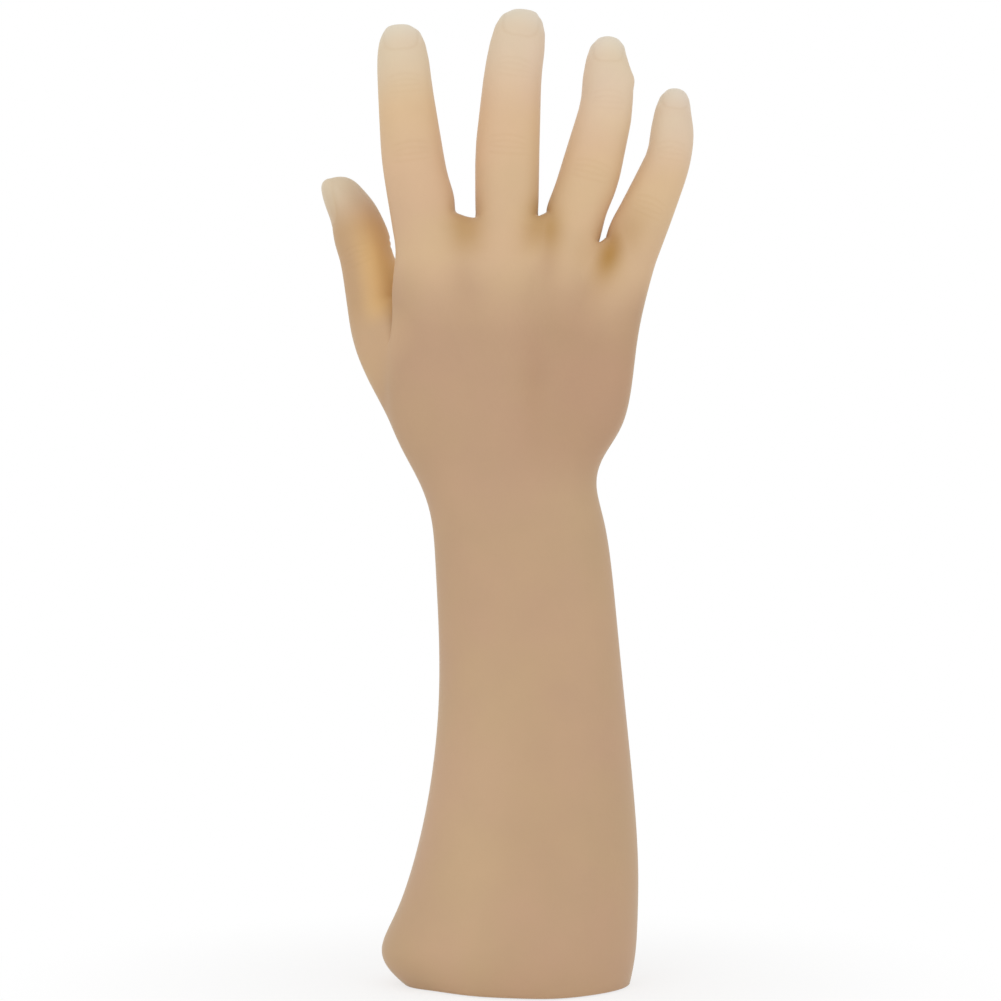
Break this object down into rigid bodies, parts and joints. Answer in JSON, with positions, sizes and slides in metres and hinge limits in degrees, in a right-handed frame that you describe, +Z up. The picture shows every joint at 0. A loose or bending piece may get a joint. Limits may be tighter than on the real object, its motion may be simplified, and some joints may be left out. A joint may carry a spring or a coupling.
{
  "type": "practice hand",
  "caption": "Soft silicone right hand and forearm to practise tattooing on, standing on its cut end, with a jointed skeleton so that the fingers and the thumb can be bent.",
  "frame": {"origin": "on the base plane, under the middle of the whole part's box", "axes": "+Z up along the forearm to the fingertips; +Y towards the palm side, so the back of the hand faces -Y; +X towards the little finger, so the thumb is on the -X side"},
  "size_m": [0.1351, 0.0719, 0.3518],
  "materials": {
    "flesh_silicone": "matt, soft to the touch",
    "rigid_foam": "fine closed cells",
    "white_nylon": "satin, as moulded",
    "zinc_plated_steel": "bright zinc"
  },
  "bodies": {
    "arm": {"arm_skin": "flesh_silicone", "forearm_core": "rigid_foam", "armature_rod": "zinc_plated_steel", "rod_lock_nut": "zinc_plated_steel", "anchor_nut": "zinc_plated_steel", "anchor_washer": "zinc_plated_steel", "palm_plate": "white_nylon", "index_knuckle_pin": "zinc_plated_steel", "middle_knuckle_pin": "zinc_plated_steel", "ring_knuckle_pin": "zinc_plated_steel", "little_knuckle_pin": "zinc_plated_steel", "thumb_knuckle_pin": "zinc_plated_steel"},
    "index_root": {"index_root_link": "white_nylon", "index_skin": "flesh_silicone", "index_middle_pin": "zinc_plated_steel"},
    "index_middle": {"index_middle_link": "white_nylon", "index_end_pin": "zinc_plated_steel"},
    "index_tip": {"index_tip_link": "white_nylon"},
    "middle_root": {"middle_root_link": "white_nylon", "middle_skin": "flesh_silicone", "middle_middle_pin": "zinc_plated_steel"},
    "middle_middle": {"middle_middle_link": "white_nylon", "middle_end_pin": "zinc_plated_steel"},
    "middle_tip": {"middle_tip_link": "white_nylon"},
    "ring_root": {"ring_root_link": "white_nylon", "ring_skin": "flesh_silicone", "ring_middle_pin": "zinc_plated_steel"},
    "ring_middle": {"ring_middle_link": "white_nylon", "ring_end_pin": "zinc_plated_steel"},
    "ring_tip": {"ring_tip_link": "white_nylon"},
    "little_root": {"little_root_link": "white_nylon", "little_skin": "flesh_silicone", "little_middle_pin": "zinc_plated_steel"},
    "little_middle": {"little_middle_link": "white_nylon", "little_end_pin": "zinc_plated_steel"},
    "little_tip": {"little_tip_link": "white_nylon"},
    "thumb_root": {"thumb_root_link": "white_nylon", "thumb_skin": "flesh_silicone", "thumb_end_pin": "zinc_plated_steel"},
    "thumb_tip": {"thumb_tip_link": "white_nylon"}
  },
  "joints": [
    {"name": "index_knuckle_hinge", "type": "hinge", "parent": "arm", "child": "index_root", "pos_m": [-0.0276, 0, 0.2565], "axis": [-0.9863, 0, -0.165], "range_deg": [-5, 30], "deforming": ["index_skin"]},
    {"name": "index_middle_hinge", "type": "hinge", "parent": "index_root", "child": "index_middle", "pos_m": [-0.03439, 0.00216, 0.29708], "axis": [-0.994, 0, -0.1097], "range_deg": [-5, 50], "deforming": ["index_skin"]},
    {"name": "index_end_hinge", "type": "hinge", "parent": "index_middle", "child": "index_tip", "pos_m": [-0.0371, 0.00562, 0.32159], "axis": [-0.9963, 0, -0.0854], "range_deg": [-5, 40], "deforming": ["index_skin"]},
    {"name": "middle_knuckle_hinge", "type": "hinge", "parent": "arm", "child": "middle_root", "pos_m": [-0.0005, 0, 0.255], "axis": [-1, 0, 0.007], "range_deg": [-5, 30], "deforming": ["middle_skin"]},
    {"name": "middle_middle_hinge", "type": "hinge", "parent": "middle_root", "child": "middle_middle", "pos_m": [-0.00019, 0.00233, 0.29954], "axis": [-0.9976, 0, 0.0698], "range_deg": [-5, 50], "deforming": ["middle_skin"]},
    {"name": "middle_end_hinge", "type": "hinge", "parent": "middle_middle", "child": "middle_tip", "pos_m": [0.00176, 0.00577, 0.32746], "axis": [-0.9871, 0, 0.1599], "range_deg": [-5, 40], "deforming": ["middle_skin"]},
    {"name": "ring_knuckle_hinge", "type": "hinge", "parent": "arm", "child": "ring_root", "pos_m": [0.0174, 0, 0.251], "axis": [-0.9563, 0, 0.2924], "range_deg": [-5, 30], "deforming": ["ring_skin"]},
    {"name": "ring_middle_hinge", "type": "hinge", "parent": "ring_root", "child": "ring_middle", "pos_m": [0.02942, 0.00287, 0.2903], "axis": [-0.9686, 0, 0.2487], "range_deg": [-5, 50], "deforming": ["ring_skin"]},
    {"name": "ring_end_hinge", "type": "hinge", "parent": "ring_middle", "child": "ring_tip", "pos_m": [0.03598, 0.00705, 0.31585], "axis": [-0.9996, 0, 0.0279], "range_deg": [-5, 40], "deforming": ["ring_skin"]},
    {"name": "little_knuckle_hinge", "type": "hinge", "parent": "arm", "child": "little_root", "pos_m": [0.0369, 0, 0.2435], "axis": [-0.9323, 0, 0.3616], "range_deg": [-5, 30], "deforming": ["little_skin"]},
    {"name": "little_middle_hinge", "type": "hinge", "parent": "little_root", "child": "little_middle", "pos_m": [0.05001, 0.00317, 0.27731], "axis": [-0.9191, 0, 0.3939], "range_deg": [-5, 50], "deforming": ["little_skin"]},
    {"name": "little_end_hinge", "type": "hinge", "parent": "little_middle", "child": "little_tip", "pos_m": [0.0587, 0.00706, 0.29758], "axis": [-0.9934, 0, 0.1149], "range_deg": [-5, 40], "deforming": ["little_skin"]},
    {"name": "thumb_knuckle_hinge", "type": "hinge", "parent": "arm", "child": "thumb_root", "pos_m": [-0.0454, 0.017, 0.233], "axis": [-0.8589, 0.4669, -0.2107], "range_deg": [-5, 20], "deforming": ["thumb_skin"]},
    {"name": "thumb_end_hinge", "type": "hinge", "parent": "thumb_root", "child": "thumb_tip", "pos_m": [-0.05111, 0.02026, 0.2635], "axis": [-0.8126, 0.4694, -0.3455], "range_deg": [-5, 25], "deforming": ["thumb_skin"]}
  ]
}
